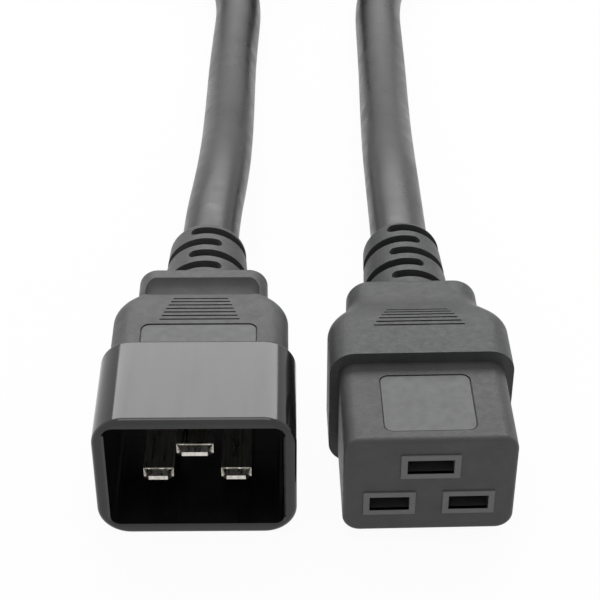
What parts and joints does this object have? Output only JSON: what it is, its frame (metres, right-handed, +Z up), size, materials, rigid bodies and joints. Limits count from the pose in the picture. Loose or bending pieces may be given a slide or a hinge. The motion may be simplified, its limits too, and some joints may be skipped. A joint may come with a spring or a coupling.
{
  "type": "power extension cord",
  "caption": "Heavy power extension cord: a C20 blade plug and a C19 socket connector moulded onto one round three-core cable.",
  "frame": {"origin": "on the surface it lies on, under the middle of the box round the plug and the connector", "axes": "+X from the plug to the connector, +Y from their mouths towards the cord, +Z up"},
  "size_m": [0.142, 0.35, 0.0252],
  "materials": {
    "overmould": "fine matte moulded grain",
    "shroud": "polished black",
    "nose": "fine matte moulded grain",
    "plated_blade": "nickel plated brass, lightly brushed",
    "contact_brass": "rolled spring brass",
    "copper": "bare copper strands",
    "line_core": "smooth black insulation",
    "neutral_core": "smooth white insulation",
    "earth_core": "smooth green insulation",
    "jacket": "semi-gloss black jacket"
  },
  "bodies": {
    "root": {"plug_body": "overmould", "plug_shell": "shroud", "plug_line_blade": "plated_blade", "plug_neutral_blade": "plated_blade", "plug_earth_blade": "plated_blade", "plug_line_strands": "copper", "plug_neutral_strands": "copper", "plug_earth_strands": "copper", "plug_line_core": "line_core", "plug_neutral_core": "neutral_core", "plug_earth_core": "earth_core", "connector_body": "overmould", "connector_nose": "nose", "connector_line_contact": "contact_brass", "connector_neutral_contact": "contact_brass", "connector_earth_contact": "contact_brass", "connector_line_strands": "copper", "connector_neutral_strands": "copper", "connector_earth_strands": "copper", "connector_line_core": "line_core", "connector_neutral_core": "neutral_core", "connector_earth_core": "earth_core", "cord_plug_run": "jacket", "cord_connector_run": "jacket", "cord_coil": "jacket"}
  },
  "joints": []
}
